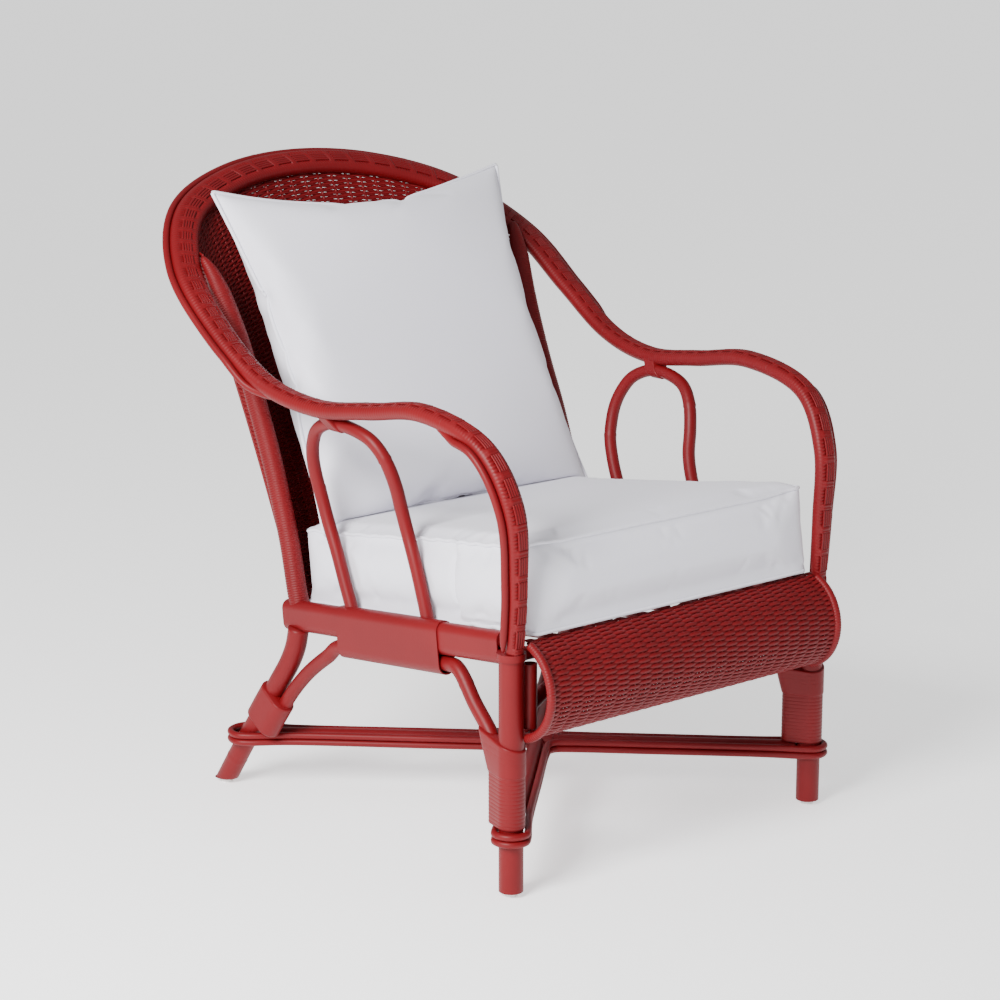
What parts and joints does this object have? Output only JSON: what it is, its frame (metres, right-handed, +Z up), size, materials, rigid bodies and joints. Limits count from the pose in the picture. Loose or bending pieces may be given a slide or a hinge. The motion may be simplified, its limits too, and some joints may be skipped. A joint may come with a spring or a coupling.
{
  "type": "rattan lounge armchair",
  "caption": "Low lounge armchair with a bent and cane-wrapped pole frame, woven back and rolled woven apron, arm loops, and a loose box seat cushion and back pillow.",
  "frame": {"origin": "on the floor, under the middle of the chair's outline seen from above", "axes": "+X towards the side of the chair that is farther from the camera in the picture, +Y from front to back, +Z up; the front of the chair faces -Y"},
  "size_m": [0.7352, 0.9611, 0.9171],
  "materials": {
    "painted_rattan": "satin red paint over rattan pole and cane",
    "cushion_fabric": "matte pale grey-white woven cloth",
    "cushion_filling": "matte foam and fibre filling, hidden in the covers",
    "nylon_glide": "matte white nylon"
  },
  "bodies": {
    "frame": {"front_leg_left": "painted_rattan", "front_leg_right": "painted_rattan", "front_inner_pole_left": "painted_rattan", "front_inner_pole_right": "painted_rattan", "rear_leg_left": "painted_rattan", "rear_leg_right": "painted_rattan", "leg_glides": "nylon_glide", "front_collar_left": "painted_rattan", "front_collar_right": "painted_rattan", "front_leg_wrap_left": "painted_rattan", "front_leg_wrap_right": "painted_rattan", "rear_leg_wrap_left": "painted_rattan", "rear_leg_wrap_right": "painted_rattan", "stretcher_long": "painted_rattan", "stretcher_half_front": "painted_rattan", "stretcher_half_rear": "painted_rattan", "stretcher_lashing": "painted_rattan", "stretcher_rod_upper": "painted_rattan", "stretcher_rod_lower": "painted_rattan", "side_rail_upper_left": "painted_rattan", "side_rail_upper_right": "painted_rattan", "side_rail_lower_left": "painted_rattan", "side_rail_lower_right": "painted_rattan", "side_rail_wrap_left": "painted_rattan", "side_rail_wrap_right": "painted_rattan", "side_brace_left": "painted_rattan", "side_brace_right": "painted_rattan", "side_binding_left": "painted_rattan", "side_binding_right": "painted_rattan", "front_rail": "painted_rattan", "rear_rail": "painted_rattan", "front_brace": "painted_rattan", "seat_poles": "painted_rattan", "rail_pegs": "painted_rattan", "arm_loop_left": "painted_rattan", "arm_loop_right": "painted_rattan", "loop_binding_left": "painted_rattan", "loop_binding_right": "painted_rattan", "hoop_core_outer": "painted_rattan", "hoop_core_inner": "painted_rattan", "hoop_core_middle": "painted_rattan", "post_wrap_left": "painted_rattan", "post_wrap_right": "painted_rattan", "arm_wrap_left": "painted_rattan", "arm_wrap_right": "painted_rattan", "back_wrap": "painted_rattan", "hoop_edge_pole": "painted_rattan", "front_edge_pole_left": "painted_rattan", "front_edge_pole_right": "painted_rattan", "back_post_left": "painted_rattan", "back_post_right": "painted_rattan", "back_panel": "painted_rattan", "apron_skin": "painted_rattan", "apron_border_poles": "painted_rattan", "apron_lower_rail": "painted_rattan"},
    "seat_cushion": {"seat_cushion_cover": "cushion_fabric", "seat_cushion_foam": "cushion_filling"},
    "back_pillow": {"back_pillow_cover": "cushion_fabric", "back_pillow_filling": "cushion_filling"}
  },
  "joints": [
    {"name": "seat_cushion_lift", "type": "slide", "parent": "frame", "child": "seat_cushion", "axis": [0, 0, 1], "range_m": [0, 0.3]},
    {"name": "back_pillow_lift", "type": "slide", "parent": "seat_cushion", "child": "back_pillow", "axis": [0, 0, 1], "range_m": [0, 0.3]}
  ]
}
